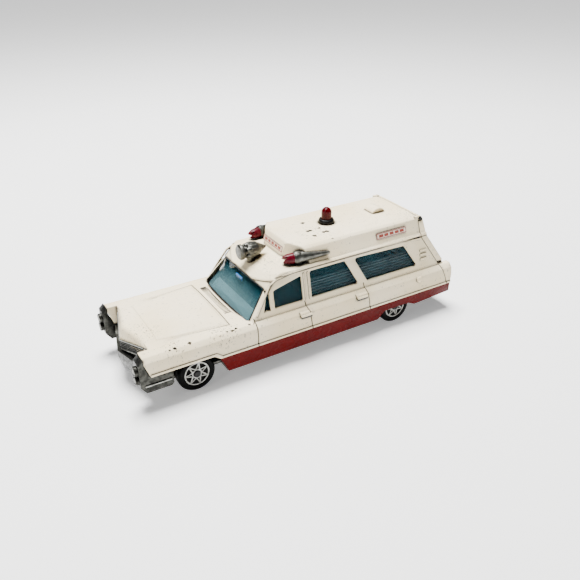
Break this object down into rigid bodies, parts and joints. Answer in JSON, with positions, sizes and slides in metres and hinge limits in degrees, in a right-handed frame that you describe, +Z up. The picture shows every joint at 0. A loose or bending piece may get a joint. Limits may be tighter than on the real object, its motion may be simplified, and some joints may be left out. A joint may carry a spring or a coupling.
{
  "type": "toy ambulance",
  "caption": "Die-cast toy ambulance with a raised roof, roof beacon, siren and lamps, rolling wheels, a lifting rear door and a sliding stretcher.",
  "frame": {"origin": "on the ground under the middle of the length and width", "axes": "+X forward, +Y to the left, +Z up"},
  "size_m": [0.152, 0.0506, 0.0535],
  "materials": {
    "cream_enamel": "gloss enamel, cream above and deep red below, worn",
    "bare_casting": "dull bare zinc casting",
    "screw_steel": "plain steel",
    "pin_steel": "drawn steel wire",
    "plated_plastic": "worn bright plating",
    "red_plastic": "clear deep red",
    "tinted_clear": "clear blue-green tint",
    "pale_plastic": "satin",
    "seat_plastic": "satin",
    "black_plastic": "gloss",
    "stretcher_plastic": "satin",
    "white_plastic": "satin",
    "wheel_plastic": "satin, scuffed",
    "face_foil": "worn bright foil"
  },
  "bodies": {
    "car": {"body_shell": "cream_enamel", "base_plate": "bare_casting", "base_screws": "screw_steel", "front_bumper": "plated_plastic", "rear_bumper": "plated_plastic", "left_tail_lamp": "red_plastic", "right_tail_lamp": "red_plastic", "glazing": "tinted_clear", "interior": "pale_plastic", "front_seat": "seat_plastic", "steering_wheel": "black_plastic", "beacon_base": "black_plastic", "beacon_dome": "red_plastic", "siren": "plated_plastic", "left_roof_lamp": "plated_plastic", "right_roof_lamp": "plated_plastic", "left_lamp_nose": "red_plastic", "right_lamp_nose": "red_plastic", "hinge_pin": "pin_steel", "front_axle": "pin_steel", "rear_axle": "pin_steel"},
    "rear_door": {"rear_door": "cream_enamel", "rear_door_pane": "tinted_clear"},
    "stretcher": {"stretcher_frame": "stretcher_plastic", "stretcher_pad": "white_plastic"},
    "front_left_wheel": {"front_left_wheel": "wheel_plastic", "front_left_face": "face_foil"},
    "front_right_wheel": {"front_right_wheel": "wheel_plastic", "front_right_face": "face_foil"},
    "rear_left_wheel": {"rear_left_wheel": "wheel_plastic", "rear_left_face": "face_foil"},
    "rear_right_wheel": {"rear_right_wheel": "wheel_plastic", "rear_right_face": "face_foil"}
  },
  "joints": [
    {"name": "rear_door_lift", "type": "hinge", "parent": "car", "child": "rear_door", "pos_m": [-0.06135, 0, 0.04525], "axis": [0, 1, 0], "range_deg": [0, 90]},
    {"name": "front_left_roll", "type": "hinge", "parent": "car", "child": "front_left_wheel", "pos_m": [0.0522, 0.0227, 0.0078], "axis": [0, 1, 0], "continuous": true},
    {"name": "front_right_roll", "type": "hinge", "parent": "car", "child": "front_right_wheel", "pos_m": [0.0522, -0.0227, 0.0078], "axis": [0, 1, 0], "continuous": true},
    {"name": "rear_left_roll", "type": "hinge", "parent": "car", "child": "rear_left_wheel", "pos_m": [-0.0452, 0.0227, 0.0078], "axis": [0, 1, 0], "continuous": true},
    {"name": "rear_right_roll", "type": "hinge", "parent": "car", "child": "rear_right_wheel", "pos_m": [-0.0452, -0.0227, 0.0078], "axis": [0, 1, 0], "continuous": true},
    {"name": "stretcher_slide", "type": "slide", "parent": "car", "child": "stretcher", "axis": [1, 0, 0], "range_m": [0, 0.01]}
  ]
}
